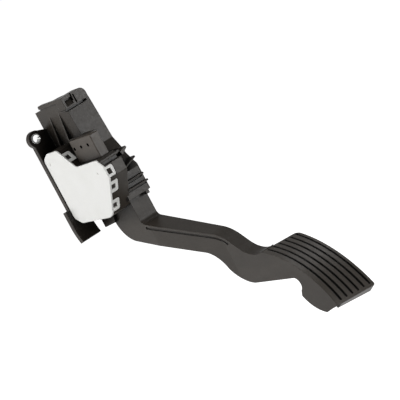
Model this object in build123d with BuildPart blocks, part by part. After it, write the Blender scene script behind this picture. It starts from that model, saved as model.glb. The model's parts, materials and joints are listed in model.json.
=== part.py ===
# Accelerator pedal with its pivot housing and position sensor, in millimetres.
# x runs across the car, y towards the driver, z up. The mounting face is the plane y = 0,
# and the origin lies on it midway between the two bolts.
import os
from math import cos, degrees, radians, sin

from build123d import *

os.makedirs("parts", exist_ok=True)

# Fits
run_gap = 0.04
slide_gap = 0.15
clip_gap = 0.2
stop_gap = 0.25
over = 1.0

# Bolts, ears and back plate
bolt_half = 26.0
bolt_r = 3.3
sleeve_r = 4.5
sleeve_proud = 0.4
sleeve_slit = 0.9
ear_r = 7.4
ear_z = -0.4
plate_t = 4.5
plate_half = 30.8
plate_top = 2.8
plate_low = -66.0
plate_mid_low = -81.0
plate_mid_half = 14.5
plate_taper_z = (-9.0, -38.0)

# Foot below the plate, leaning forward at its tip
foot_x = (14.5, 34.8)
foot_t = plate_t
foot_bend_z = -80.0
foot_tip = (3.0, -95.4)

# Housing body round the arm
wall = 2.4
body_half = 12.5
tunnel_half = body_half - wall
shroud_front = 47.0
shroud_top = 18.0
shroud_round = 6.0
body_front = [(48.6, -6.0), (50.3, -26.5), (55.1, -36.6), (57.0, -43.0), (62.5, -51.5)]
front_face = 66.5
front_corner_z = -56.0
front_low = -77.5
front_round = 2.5
tunnel_roof = -29.0
tunnel_front = [(48.5, -29.0), (52.6, -37.4), (54.6, -44.0), (59.9, -52.2), (63.5, -56.3)]
stop_tab_x = (-9.0, -5.6)
stop_tab_low = -80.5
lug = [(13.0, -77.0), (13.2, -93.2), (30.5, -91.6), (34.0, -77.0)]

# Socket for the plug, its rim and the latch hood in front of it
socket_half = body_half - 3.0
socket_y = (9.0, 38.0)
socket_round = 5.0
socket_floor = -6.0
rim_low = 19.8
rim_top = 22.8
rim_back = 9.6
rim_proud = 1.2
rim_round = 1.5
mouth_wall = 2.2
mouth_top = 20.4
hood_y = (socket_y[1] + 3.0, 48.4)
hood_far = -11.4
hood_low = 12.4
hood_round = 6.0
hood_groove = 2.0
hood_groove_depth = 3.0
hood_groove_far = -9.0
latch_x = (4.2, 11.5)
latch_z = (13.8, 18.4, 20.0)
latch_ramp = 2.2
latch_depth = 3.4
# Slits on both sides of the latch rib: two places across, lower and upper end
latch_slits = [((0.5, 1.8), (13.2, 21.0)), ((3.0, 4.2), (16.2, 22.8))]

# Ribs, box and cored pockets on the housing
gusset_y = (17.0, 32.5)
gusset_t = 1.6
gusset_top = 11.8
gusset_reach = 3.7
gusset_low = -18.0
box_x = (body_half - 4.5, body_half + 3.5)
box_y = (31.7, 65.0)
box_z = (-36.0, -12.0)
box_hole_y = (35.5, 45.5, 55.5)
box_hole_z = -20.6
box_hole_r = 1.3
box_core_y = (52.5, 62.8)
core_y = ((8.0, 24.5), (27.0, 43.5))
core_z = (-26.5, -9.0)
core_depth = 6.5
fin_t = 1.7
fin_root = 52.0
fin_tip = 70.4
fin_slot = 1.4
fin_slot_depth = 1.8
fins = [((8.0, -53.4), (-10.2, -47.6)), ((10.6, -63.0), (-10.0, -63.0)), ((10.6, -69.4), (-11.0, -69.8))]

# Sensor chamber and its clipped cover: corners of the outline seen from the side
back_high = (4.6, -19.0)
top_back = (13.0, -14.6)
top_front = (29.0, -14.6)
step_low = (45.0, -33.0)
nose_back = (76.5, -33.0)
nose_high = (83.0, -39.8)
nose_low = (83.0, -51.0)
under_front = (61.0, -80.5)
under_mid = (55.0, -82.3)
under_back = (12.5, -80.0)
back_low = (4.6, -74.5)
cover_round = 5.0
nose_round = 1.5
chamber_depth = 16.2
cover_t = 1.3
# Ledge over the nose with a groove below it, a lower shelf at its end and a slanted tab beyond that
ledge_x = 9.3
ledge_y = 79.8
ledge_z = (-36.9, -34.9)
ledge_groove_y = 77.8
shelf_x = 4.8
shelf_y = 76.5
tab = [(5.7, -37.0), (4.6, -40.6), (-2.2, -36.6), (-1.6, -34.9)]
tab_y = 78.0
cover_edge = 0.6
cover_lip = 1.3
cover_lip_depth = 2.0
clip_t = 1.5
clip_length = 7.3
clip_window = (0.2, 4.5)
clip_window_width = 4.9
clip_corner = 1.8
nub_gap = 0.3
nub_proud = 1.4
# Each clip: the two corners it stands between, how far along it stands and its width
clips = [(nose_high, nose_low, 0.5, 9.4),
         (nose_low, under_front, 0.26, 11.6), (nose_low, under_front, 0.78, 11.6),
         (top_front, step_low, 0.47, 11.0),
         (under_mid, under_back, 0.14, 8.0), (under_mid, under_back, 0.72, 8.0)]
dimple_at = [(11.5, -24.0), (70.8, -44.0)]
dimple_r = 0.8
dimple_depth = 0.4

# Pivot
pivot_y = 40.0
pivot_z = -57.0
travel = 16.0
shaft_r = 4.0
shaft_tail = 1.0
shaft_flat = 3.2
bush_r = 6.0
bush_flange_r = 8.5
bush_play = 0.05
bush_flange = 0.55
boss_r = 9.0
boss_length = 3.0
clip_ring_r = (3.4, 6.6)
clip_ring_t = 0.8
clip_ring_play = 0.1

# Arm, outline seen from the side
arm_half = tunnel_half - bush_flange - bush_play
arm_wall = 3.0
hub_r = 15.0
neck_front = 61.0
neck_top = -70.0
neck_back = 26.0
neck_shoulder = (12.0, 9.0)
crease_z = -100.3
crease_r = 5.5
run_end = (139.5, -125.4)
bend_end = (157.0, -136.0)
bend_straight = 10.0
valley = (183.0, -152.1)
heel = [(26.0, -90.0), (30.0, -104.0), (43.5, -113.6), (119.0, -138.2), (134.2, -147.6), (139.8, -157.6),
        (147.6, -167.2), (164.0, -175.0), (214.5, -178.9), (220.6, -184.0), (217.4, -190.4), (214.6, -195.0),
        (223.0, -206.3), (235.5, -213.2), (244.8, -211.2)]
taper_y = (70.0, 150.0)
arm_near_end = 4.5
arm_far_end = -9.5
arm_far_y = 262.0
core_top = -86.0
arm_rib_t = 1.8
arm_ribs = [(30.0, -88.0), (61.0, -108.0), (72.0, -122.0), (96.0, -111.0), (112.0, -136.0),
            (138.0, -126.0), (146.0, -168.0), (176.0, -150.0), (192.0, -178.0), (205.0, -152.0),
            (216.0, -180.0), (246.0, -182.0), (220.0, -204.0)]
# Lip along the run on the near side: its thickness, and the groove under it
lip_t = 1.8
lip_groove = 2.2
lip_depth = 1.0
lip_start = 4.0

# Pad: the tread is an arc at its near edge and a flatter one at its far edge, ruled between them.
# Each arc is given by its middle point, the direction it faces there and its radius.
pad_mid = ((225.3, -169.5), (223.8, -173.9))
pad_angle = 49.7
pad_r = (92.0, 124.0)
pad_far = -36.2
pad_up = 38.6
pad_down = 49.5
pad_round = (4.5, 2.0)
pad_low_z = -214.6
pad_depth = 9.0
pad_t = 3.6
pad_rim = 2.6
pad_ribs_at = (22.0, 6.0, -28.0)
groove_count = 6
groove_first = -1.5
groove_pitch = 6.2
groove_width = 1.8
groove_depth = 1.4
groove_ends = (2.0, 2.8)

# Return springs on the arm's lever
spring_y = 16.0
lever_end = 8.0
lever_z = (-63.0, -56.5)
seat_r = 8.0
seat_t = 2.5
seat_post_r = 3.0
seat_post = 7.0
seat_peg_r = 2.0
seat_peg = 4.0
roof_post_r = 3.0
roof_post = 4.0
outer_coil_r = 6.7
outer_wire_r = 0.85
outer_turns = 4.5
inner_coil_r = 4.1
inner_wire_r = 0.6
inner_turns = 5.5
seat_clear = 0.02

# Friction shoe on the hub
shoe_half = 6.0
shoe_top = -36.0
shoe_gap = 0.05
shoe_guide_y = (31.5, 50.0)
shoe_guide_low = -39.5
shoe_pocket_top = -30.5
shoe_coil_r = 3.4
shoe_wire_r = 0.45
shoe_turns = 3.0

# Stops
idle_half = 7.0
idle_z = (-76.5, -70.5)
full_half = 6.0
full_t = 2.5
full_along = (-31.0, -24.0)
full_block = 30.0

# Sensor
board_x = body_half + 4.0
board_t = 1.6
board_points = [(12.4, -20.8), (26.4, -20.8), (40.0, -38.5), (62.0, -41.5), (62.0, -53.0), (50.0, -72.0),
                (14.0, -72.0), (12.4, -70.0)]
board_hole_r = 5.0
screw_at = [(17.0, -66.0), (56.0, -48.0)]
screw_r = 1.1
screw_head_r = 2.2
screw_head = 1.4
screw_depth = 3.0
standoff_r = 3.0
rotor_stand = 2.1
rotor_t = 4.0
rotor_r = 14.5
rotor_hub_r = 7.0
rotor_hub = 0.8
wiper_at = (9.2, 12.6)
wiper_width = 1.6
wiper_t = 0.3
wiper_y = (-6.0, 5.0)
wiper_bend = -1.5
wiper_gap = 0.06
chip_at = [(20.0, -40.0), (20.0, -48.0), (30.0, -40.5)]
chip_size = (3.2, 2.0, 1.1)
pin_y = (15.5, 20.5, 25.5)
pin_x = (3.0, -3.0)
pin_z = (-22.6, -26.0)
pin_t = 0.8
pin_width = 1.2
pin_top = 10.0
pin_tail = 0.8

rim_x = body_half + rim_proud
drum_end = body_half + chamber_depth
cover_face = drum_end + cover_t
pivot = (pivot_y, pivot_z)
board_face = board_x + board_t
rotor_x = (board_face + rotor_stand, board_face + rotor_stand + rotor_t)
rotor_hub_end = rotor_x[1] + rotor_hub
ring_x = -body_half - boss_length - clip_ring_play - clip_ring_t
shaft_x = (ring_x - shaft_tail, rotor_x[1] + rotor_hub / 2)
cover_points = [back_high, top_back, top_front, step_low, nose_back, nose_high, nose_low,
                under_front, under_mid, under_back, back_low]


# Corners of a rectangle from its two ranges
def box_corners(first, second):
    return [(first[0], second[0]), (first[1], second[0]), (first[1], second[1]), (first[0], second[1])]


# Centre and radius of the tread's arc at one place across the pad
def tread_at(x):
    share = (arm_near_end - x) / (arm_near_end - pad_far)
    r = pad_r[0] + share * (pad_r[1] - pad_r[0])
    y, z = [near + share * (far - near) for near, far in zip(*pad_mid)]
    return (y - r * cos(radians(pad_angle)), z - r * sin(radians(pad_angle))), r


# Point of the tread by its distance up from the arc's middle and its depth below the surface
def pad_point(x, up, depth):
    centre, r = tread_at(x)
    angle = radians(pad_angle) + up / r
    return (centre[0] + (r - depth) * cos(angle), centre[1] + (r - depth) * sin(angle))


def pad_arc(x, first, last, depth):
    centre, r = tread_at(x)
    CenterArc(centre, r - depth, pad_angle + degrees(first / r), degrees((last - first) / r))


# Closed strip under the tread between two places along it and two depths
def pad_strip(x, first, last, shallow, deep):
    pad_arc(x, first, last, shallow)
    Line(pad_point(x, last, shallow), pad_point(x, last, deep))
    pad_arc(x, first, last, deep)
    Line(pad_point(x, first, deep), pad_point(x, first, shallow))


# Plane on the cover's edge: its x runs away from the cover, its z points outwards
def edge_plane(first, second, along):
    (ya, za), (yb, zb) = first, second
    length = ((yb - ya) ** 2 + (zb - za) ** 2) ** 0.5
    outward = (0, -(zb - za) / length, (yb - ya) / length)
    place = (drum_end, ya + (yb - ya) * along, za + (zb - za) * along)
    return Plane(origin=place, x_dir=(-1, 0, 0), z_dir=outward)


with BuildSketch() as cover_outline:
    with BuildLine():
        Polyline(*cover_points, close=True)
    make_face()
    fillet(cover_outline.vertices().sort_by(Axis.X)[:-3], cover_round)
    fillet(cover_outline.vertices().sort_by(Axis.X)[-3:], nose_round)

# Terminals: a flat leg from the board, then a blade up into the socket
with BuildPart() as terminal_pins:
    for x_pin, z_pin in zip(pin_x, pin_z):
        for y_pin in pin_y:
            with BuildSketch(Plane.XZ.offset(-y_pin)):
                with BuildLine():
                    Polyline((board_x + board_t + pin_tail, z_pin), (x_pin, z_pin), (x_pin, pin_top))
                trace(line_width=pin_t)
            extrude(amount=pin_width / 2, both=True)
terminal_pins.part.label = "terminal_pins"
export_step(terminal_pins.part, "parts/terminal_pins.step")

with BuildPart() as housing:
    # back plate and ears
    with BuildSketch(Plane.XZ):
        with BuildLine():
            Polyline((bolt_half, ear_z + ear_r), (body_half, plate_top), (-body_half, plate_top),
                     (-bolt_half, ear_z + ear_r), (-plate_half, 0), (-plate_half, plate_taper_z[0]),
                     (-plate_mid_half, plate_taper_z[1]), (-plate_mid_half, plate_mid_low),
                     (plate_mid_half, plate_mid_low), (plate_mid_half, plate_low), (plate_half, plate_low),
                     (plate_half, 0), close=True)
        make_face()
        with Locations((bolt_half, ear_z), (-bolt_half, ear_z)):
            Circle(ear_r)
    extrude(amount=-plate_t)
    # foot
    with BuildSketch(Plane.YZ.offset(foot_x[0])):
        with BuildLine():
            Polyline((plate_t, plate_low), (0, plate_low), (0, foot_bend_z))
            TangentArc((0, foot_bend_z), foot_tip, tangent=(0, -1))
            tip_front = (foot_tip[0] + foot_t, foot_tip[1] + over)
            Line(foot_tip, tip_front)
            TangentArc((foot_t, foot_bend_z), tip_front, tangent=(0, -1))
            Line((foot_t, foot_bend_z), (plate_t, plate_low))
        make_face()
    extrude(amount=foot_x[1] - foot_x[0])
    # body from the socket down to the front wall
    with BuildSketch(Plane.YZ.offset(-body_half)):
        with BuildLine():
            Polyline((0, shroud_top), (shroud_front, shroud_top), (shroud_front, hood_low), *body_front,
                     (front_face, front_corner_z), (front_face, front_low), (0, front_low), close=True)
        make_face()
    extrude(amount=2 * body_half)
    front_edges = housing.edges().filter_by(Axis.Z).group_by(Axis.Y)[-1]
    fillet(front_edges.sort_by(Axis.X)[0], front_round)
    top_edges = housing.edges().filter_by(Axis.Y).group_by(Axis.Z)[-1]
    fillet(top_edges.sort_by(Axis.X)[0], shroud_round)
    # raised wall and rim on the near side of the socket, its mouth, and the latch hood in front of it
    with BuildSketch(Plane.XZ.offset(-rim_back)):
        with BuildLine():
            Polyline((socket_half, socket_floor), (body_half, socket_floor), (body_half, rim_low),
                     (rim_x, rim_low), (rim_x, rim_top), (socket_half, rim_top), close=True)
        make_face()
    extrude(amount=rim_back - hood_y[0])
    fillet(housing.edges().filter_by(Axis.X).group_by(Axis.Z)[-1].sort_by(Axis.Y)[0], rim_round)
    with BuildSketch(Plane.XY.offset(shroud_top - shroud_round)):
        with Locations((0, sum(socket_y) / 2)):
            RectangleRounded(2 * (socket_half + mouth_wall), socket_y[1] - socket_y[0] + 2 * mouth_wall,
                             socket_round + mouth_wall)
    extrude(amount=mouth_top - shroud_top + shroud_round)
    with BuildSketch(Plane.XZ.offset(-socket_y[1])) as hood:
        with BuildLine():
            Polyline(*box_corners((hood_far, rim_x), (hood_low, rim_top)), close=True)
        make_face()
        fillet(hood.vertices().sort_by(Axis.X)[:2].sort_by(Axis.Y)[-1], hood_round)
    extrude(amount=socket_y[1] - hood_y[1])
    # gussets, box, fins with a slot under the lower two, stop tab and lug
    for y_rib in gusset_y:
        with BuildSketch(Plane.XZ.offset(-y_rib)):
            with BuildLine():
                Polyline((body_half - over, gusset_top), (body_half, gusset_top),
                         (body_half + gusset_reach, box_z[1]), (body_half + gusset_reach, gusset_low),
                         (body_half - over, gusset_low), close=True)
            make_face()
        extrude(amount=gusset_t / 2, both=True)
    with BuildSketch(Plane.XY.offset(box_z[0])):
        with BuildLine():
            Polyline(*box_corners(box_x, box_y), close=True)
        make_face()
    extrude(amount=box_z[1] - box_z[0])
    for fin in fins:
        with BuildSketch(Plane.XZ.offset(-fin_root)):
            with BuildLine():
                Line(*fin)
            trace(line_width=fin_t)
        extrude(amount=fin_root - fin_tip)
    fin_edges = housing.edges().group_by(Axis.Y)[-1]
    fillet(fin_edges.filter_by(lambda edge: edge.length > 2 * fin_t), fin_t / 2 - run_gap)
    for (x_from, z_from), (x_to, z_to) in fins[1:]:
        with BuildSketch(Plane.XZ.offset(-front_face)):
            with BuildLine():
                Line((x_from, z_from - (fin_t + fin_slot) / 2), (x_to, z_to - (fin_t + fin_slot) / 2))
            trace(line_width=fin_slot)
        extrude(amount=fin_slot_depth, mode=Mode.SUBTRACT)
    with BuildSketch(Plane.XZ.offset(-tunnel_front[-1][0])):
        with BuildLine():
            Polyline(*box_corners(stop_tab_x, (stop_tab_low, front_low + over)), close=True)
        make_face()
    extrude(amount=tunnel_front[-1][0] - front_face)
    with BuildSketch(Plane.YZ.offset(tunnel_half)):
        with BuildLine():
            Polyline(*lug, close=True)
        make_face()
    extrude(amount=wall)
    # sensor chamber, with a ledge over its nose and pockets for the cover's clips
    with BuildSketch(Plane.YZ.offset(tunnel_half)):
        add(cover_outline.sketch_local)
    extrude(amount=drum_end - tunnel_half)
    with BuildSketch(Plane.YZ.offset(body_half)):
        add(cover_outline.sketch_local)
        offset(amount=-clip_t - clip_gap - wall)
    extrude(amount=cover_face, mode=Mode.SUBTRACT)
    with BuildSketch(Plane.YZ.offset(tunnel_half - over)):
        with BuildLine():
            Polyline(*box_corners((ledge_groove_y, nose_high[0] + over), (nose_high[1], ledge_z[0])),
                     close=True)
        make_face()
    extrude(amount=drum_end - tunnel_half, mode=Mode.SUBTRACT)
    for x_from, x_to, y_to in ((ledge_x, drum_end - slide_gap, ledge_y), (shelf_x, ledge_x, shelf_y)):
        with BuildSketch(Plane.YZ.offset(x_from)):
            with BuildLine():
                Polyline(*box_corners((fin_root, y_to), ledge_z), close=True)
            make_face()
        extrude(amount=x_to - x_from)
    with BuildSketch(Plane.XZ.offset(-fin_root)):
        with BuildLine():
            Polyline(*tab, close=True)
        make_face()
    extrude(amount=fin_root - tab_y)
    # catch nubs stand in the clips' windows, highest at the far side
    for first, second, along, width in clips:
        pocket = edge_plane(first, second, along)
        with BuildSketch(pocket):
            with Locations(((clip_length + clip_gap) / 2, 0)):
                Rectangle(clip_length + clip_gap, width + 2 * clip_gap)
        extrude(amount=-clip_t - clip_gap, mode=Mode.SUBTRACT)
        with BuildSketch(Plane(origin=pocket.origin, x_dir=pocket.x_dir, z_dir=-pocket.y_dir)):
            with BuildLine():
                Polyline((clip_window[0] + nub_gap, -clip_t - clip_gap - over),
                         (clip_window[0] + nub_gap, nub_proud / 4 - clip_t - clip_gap),
                         (clip_window[1] - nub_gap, nub_proud - clip_t - clip_gap),
                         (clip_window[1] - nub_gap, -clip_t - clip_gap - over), close=True)
            make_face()
        extrude(amount=clip_window_width / 2 - nub_gap, both=True)
    # tunnel for the arm, open below
    with BuildSketch(Plane.YZ):
        with BuildLine():
            Polyline((plate_t, tunnel_roof), *tunnel_front, (tunnel_front[-1][0], foot_tip[1]),
                     (plate_t, foot_tip[1]), close=True)
        make_face()
    extrude(amount=tunnel_half, both=True, mode=Mode.SUBTRACT)
    # socket, latch window, the slits beside its rib and the groove under the hood
    with BuildSketch(Plane.XY.offset(socket_floor)):
        with Locations((0, sum(socket_y) / 2)):
            RectangleRounded(2 * socket_half, socket_y[1] - socket_y[0], socket_round)
    extrude(amount=rim_top - socket_floor + over, mode=Mode.SUBTRACT)
    with BuildSketch(Plane.YZ.offset(latch_x[0])):
        with BuildLine():
            Polyline((hood_y[1] + over, latch_z[0]), (hood_y[1], latch_z[0]),
                     (hood_y[1] - latch_ramp, latch_z[1]), (hood_y[1] - latch_depth, latch_z[1]),
                     (hood_y[1] - latch_depth, latch_z[2]), (hood_y[1] + over, latch_z[2]), close=True)
        make_face()
    extrude(amount=latch_x[1] - latch_x[0], mode=Mode.SUBTRACT)
    for slit_x, slit_z in latch_slits:
        with BuildSketch(Plane.XZ.offset(-hood_y[1])):
            with BuildLine():
                Polyline(*box_corners(slit_x, slit_z), close=True)
            make_face()
        extrude(amount=latch_depth, mode=Mode.SUBTRACT)
    with BuildSketch(Plane.YZ.offset(hood_groove_far)):
        with BuildLine():
            Polyline(*box_corners((shroud_front - hood_groove_depth, hood_y[1]),
                                  (hood_low - hood_groove, hood_low)), close=True)
        make_face()
    extrude(amount=rim_x - hood_groove_far, mode=Mode.SUBTRACT)
    # cored pockets on the far side, the box's core and its three holes
    for y_core in core_y:
        with BuildSketch(Plane.YZ.offset(-body_half)):
            with BuildLine():
                Polyline(*box_corners(y_core, core_z), close=True)
            make_face()
        extrude(amount=core_depth, mode=Mode.SUBTRACT)
    with BuildSketch(Plane.YZ.offset(box_x[0])):
        with BuildLine():
            Polyline(*box_corners(box_core_y, (box_z[0] + wall, box_z[1] - wall)), close=True)
        make_face()
    extrude(amount=box_x[1] - box_x[0] - wall, mode=Mode.SUBTRACT)
    with BuildSketch(Plane.YZ.offset(box_x[1])):
        with Locations(*[(y_hole, box_hole_z) for y_hole in box_hole_y]):
            Circle(box_hole_r)
    extrude(amount=-wall - over, mode=Mode.SUBTRACT)
    # guide for the friction shoe, post for the springs, block behind the full stop
    with BuildSketch(Plane.YZ):
        with BuildLine():
            Polyline(*box_corners(shoe_guide_y, (shoe_guide_low, tunnel_roof)), close=True)
        make_face()
    extrude(amount=tunnel_half, both=True)
    with BuildSketch(Plane.XY.offset(shoe_guide_low)):
        with Locations((0, pivot_y)):
            Rectangle(2 * (shoe_half + slide_gap), 2 * (shoe_half + slide_gap))
    extrude(amount=shoe_pocket_top - shoe_guide_low, mode=Mode.SUBTRACT)
    with BuildSketch(Plane.XY.offset(tunnel_roof)):
        with Locations((0, spring_y)):
            Circle(roof_post_r)
    extrude(amount=-roof_post)
    full_plane = Plane(origin=(0, pivot_y, pivot_z), x_dir=(0, cos(radians(travel)), -sin(radians(travel))),
                       z_dir=(1, 0, 0))
    full_face = neck_back - pivot_y - stop_gap
    with BuildSketch(full_plane):
        with BuildLine():
            Polyline(*box_corners((-full_block, full_face - full_t), full_along), close=True)
        make_face()
    extrude(amount=full_half, both=True)
    # bosses and bores for the bushes
    with BuildSketch(Plane.YZ.offset(body_half)):
        with Locations(pivot):
            Circle(boss_r)
    extrude(amount=boss_length)
    with BuildSketch(Plane.YZ.offset(-body_half)):
        with Locations(pivot):
            Circle(boss_r)
    extrude(amount=-boss_length)
    with BuildSketch(Plane.YZ):
        with Locations(pivot):
            Circle(bush_r)
    extrude(amount=body_half + boss_length, both=True, mode=Mode.SUBTRACT)
    # standoffs for the board
    with BuildSketch(Plane.YZ.offset(body_half)):
        with Locations(*screw_at):
            Circle(standoff_r)
    extrude(amount=board_x - body_half)
    with BuildSketch(Plane.YZ.offset(board_x)):
        with Locations(*screw_at):
            Circle(screw_r)
    extrude(amount=-screw_depth, mode=Mode.SUBTRACT)
    # holes for the sleeves, and the terminals moulded in
    with BuildSketch(Plane.XZ):
        with Locations((bolt_half, 0), (-bolt_half, 0)):
            Circle(sleeve_r)
    extrude(amount=-plate_t, mode=Mode.SUBTRACT)
    add(terminal_pins.part, mode=Mode.SUBTRACT)
housing.part.label = "housing"
export_step(housing.part, "parts/housing.step")

with BuildPart() as sensor_cover:
    with BuildSketch(Plane.YZ.offset(drum_end)):
        add(cover_outline.sketch_local)
    extrude(amount=cover_t)
    fillet(sensor_cover.faces().sort_by(Axis.X)[-1].edges(), cover_edge)
    # lip inside the chamber's wall
    with BuildSketch(Plane.YZ.offset(drum_end)):
        add(cover_outline.sketch_local)
        offset(amount=-clip_t - clip_gap - wall - slide_gap)
    extrude(amount=-cover_lip_depth)
    with BuildSketch(Plane.YZ.offset(drum_end)):
        add(cover_outline.sketch_local)
        offset(amount=-clip_t - clip_gap - wall - slide_gap - cover_lip)
    extrude(amount=-cover_lip_depth, mode=Mode.SUBTRACT)
    # clips with a window each, then two moulding dimples
    for first, second, along, width in clips:
        with BuildSketch(edge_plane(first, second, along)):
            with Locations(((clip_length - over) / 2, 0)):
                RectangleRounded(clip_length + over, width, clip_corner)
            with Locations((sum(clip_window) / 2, 0)):
                Rectangle(clip_window[1] - clip_window[0], clip_window_width, mode=Mode.SUBTRACT)
        extrude(amount=-clip_t)
    with BuildSketch(Plane.YZ.offset(cover_face)):
        with Locations(*dimple_at):
            Circle(dimple_r)
    extrude(amount=-dimple_depth, mode=Mode.SUBTRACT)
sensor_cover.part.label = "sensor_cover"
export_step(sensor_cover.part, "parts/sensor_cover.step")

with BuildPart() as mounting_sleeves:
    with BuildSketch(Plane.XZ):
        for x_bolt in (bolt_half, -bolt_half):
            with Locations((x_bolt, 0)):
                Circle(sleeve_r)
                Circle(bolt_r, mode=Mode.SUBTRACT)
            with Locations((x_bolt - sleeve_r, 0)):
                Rectangle(sleeve_r, sleeve_slit, mode=Mode.SUBTRACT)
    extrude(amount=-plate_t - sleeve_proud)
mounting_sleeves.part.label = "mounting_sleeves"
export_step(mounting_sleeves.part, "parts/mounting_sleeves.step")

# Arm: the side outline, its plan and the pocket that opens on the far side
with BuildSketch() as arm_outline:
    with BuildLine():
        run = FilletPolyline((neck_front, neck_top), (neck_front, crease_z), run_end, radius=crease_r)
        bend = TangentArc(run_end, bend_end, tangent=run % 1)
        slope = Line(bend_end, bend @ 1 + bend % 1 * bend_straight)
        dip = TangentArc(slope @ 1, valley, tangent=slope % 1)
        TangentArc(valley, pad_point(arm_near_end, pad_up, 0), tangent=dip % 1)
        pad_arc(arm_near_end, pad_up, -pad_down, 0)
        Polyline(pad_point(arm_near_end, -pad_down, 0), heel[14], heel[13])
        ThreePointArc(heel[13], heel[12], heel[11])
        Line(heel[11], heel[10])
        ThreePointArc(heel[10], heel[9], heel[8])
        Line(heel[8], heel[7])
        ThreePointArc(heel[7], heel[6], heel[5])
        ThreePointArc(heel[5], heel[4], heel[3])
        Line(heel[3], heel[2])
        ThreePointArc(heel[2], heel[1], heel[0])
        Polyline(heel[0], (neck_back, lever_z[0]), (pivot_y, pivot_z),
                 (pivot_y + neck_shoulder[0], pivot_z + neck_shoulder[1]), (neck_front, neck_top))
    make_face()


# Corners of the arm's plan, its near side moved in
def arm_plan(inset):
    near, far = arm_half - inset, -arm_half - inset
    near_end, far_end = arm_near_end - inset, arm_far_end - inset
    return [(far, 0), (near, 0), (near, taper_y[0]), (near_end, taper_y[1]), (near_end, arm_far_y),
            (far_end, arm_far_y), (far_end, taper_y[1]), (far, taper_y[0])]


with BuildPart() as arm_pocket:
    with BuildSketch(Plane.YZ):
        add(arm_outline.sketch_local)
        offset(amount=-arm_wall)
        with Locations((neck_front, core_top)):
            Rectangle(arm_far_y, -core_top, align=(Align.CENTER, Align.MIN), mode=Mode.SUBTRACT)
    extrude(amount=arm_half + arm_wall, both=True)
    with BuildSketch(Plane.XY.offset(pad_low_z - over)):
        with BuildLine():
            Polyline(*arm_plan(arm_wall), close=True)
        make_face()
    extrude(amount=-pad_low_z, mode=Mode.INTERSECT)

with BuildPart() as arm_web:
    with BuildSketch(Plane.YZ.offset(-arm_half)):
        with BuildLine():
            Polyline(*arm_ribs)
        trace(line_width=arm_rib_t)
    extrude(amount=2 * arm_half)
    add(arm_pocket.part, mode=Mode.INTERSECT)

# Groove under the lip, cut along the top of the run into the near side
lip_down = lip_t + lip_groove / 2
crease = Vector(neck_front, crease_z)
run_way = (Vector(*run_end) - crease).normalized()
run_drop = run_way.rotate(Axis.Z, -90) * lip_down
bend_drop = (bend % 1).rotate(Axis.Z, -90) * lip_down
with BuildPart() as lip_cut:
    with BuildSketch(Plane.YZ):
        with BuildLine():
            lip_line = Line(crease + run_way * lip_start + run_drop, Vector(*run_end) + run_drop)
            TangentArc(lip_line @ 1, Vector(*bend_end) + bend_drop, tangent=run_way)
        trace(line_width=lip_groove)
    extrude(amount=arm_half + over)
    with BuildSketch(Plane.XY.offset(pad_low_z - over)):
        with BuildLine():
            Polyline(*arm_plan(lip_depth), close=True)
        make_face()
    extrude(amount=-pad_low_z, mode=Mode.SUBTRACT)

# Wing of the pad beyond the arm, hollow below with cross ribs
with BuildPart() as pad_wing:
    for x_end in (0, pad_far - over):
        with BuildSketch(Plane.YZ.offset(x_end)):
            with BuildLine():
                pad_strip(x_end, pad_up, -pad_down, 0, pad_depth)
            make_face()
    loft(ruled=True)
    for x_end in (over, pad_far + pad_rim):
        with BuildSketch(Plane.YZ.offset(x_end)):
            with BuildLine():
                pad_strip(x_end, pad_up - pad_rim, pad_rim - pad_down, pad_t, pad_depth + over)
            make_face()
    loft(ruled=True, mode=Mode.SUBTRACT)
    for up in pad_ribs_at:
        with BuildSketch(Plane.YZ.offset(pad_far + pad_rim / 2)):
            with BuildLine():
                Line(pad_point(pad_far, up, pad_t / 2), pad_point(pad_far, up, pad_depth))
            trace(line_width=arm_rib_t)
        extrude(amount=-pad_far - pad_rim / 2)
    split(bisect_by=Plane.YZ.offset(pad_far))
    fillet(pad_wing.edges().group_by(Axis.X)[0].sort_by(Axis.Y)[0], pad_round[0])
    fillet(pad_wing.edges().group_by(Axis.X)[0].sort_by(Axis.Y)[-1], pad_round[1])

# Space above the tread
with BuildPart() as tread_space:
    for x_end in (arm_near_end + over, pad_far - over):
        with BuildSketch(Plane.YZ.offset(x_end)):
            with BuildLine():
                pad_strip(x_end, pad_up, -pad_down - over, 0, -pad_depth)
            make_face()
    loft(ruled=True)

with BuildPart() as pedal_arm:
    with BuildSketch(Plane.YZ):
        add(arm_outline.sketch_local)
        with Locations(pivot):
            Circle(hub_r)
        with BuildLine():
            Polyline(*box_corners((lever_end, pivot_y), lever_z), close=True)
        make_face()
    extrude(amount=arm_half, both=True)
    with BuildSketch(Plane.XY.offset(pad_low_z - over)):
        with BuildLine():
            Polyline(*arm_plan(0), close=True)
        make_face()
    extrude(amount=-pad_low_z, mode=Mode.INTERSECT)
    add(arm_pocket.part, mode=Mode.SUBTRACT)
    add(arm_web.part)
    add(pad_wing.part)
    add(tread_space.part, mode=Mode.SUBTRACT)
    add(lip_cut.part, mode=Mode.SUBTRACT)
    # grooves in the tread
    for count in range(groove_count):
        x_groove = groove_first - count * groove_pitch
        with BuildSketch(Plane.YZ.offset(x_groove)):
            with BuildLine():
                pad_strip(x_groove, pad_up - groove_ends[0], groove_ends[1] - pad_down, -over, groove_depth)
            make_face()
        extrude(amount=groove_width / 2, both=True, mode=Mode.SUBTRACT)
    # bore for the shaft and hole for the spring seat
    with BuildSketch(Plane.YZ):
        with Locations(pivot):
            Circle(shaft_r)
    extrude(amount=arm_half, both=True, mode=Mode.SUBTRACT)
    with BuildSketch(Plane.XY.offset(lever_z[1])):
        with Locations((0, spring_y)):
            Circle(seat_peg_r)
    extrude(amount=-seat_peg, mode=Mode.SUBTRACT)
pedal_arm.part.label = "pedal_arm"
export_step(pedal_arm.part, "parts/pedal_arm.step")

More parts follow.
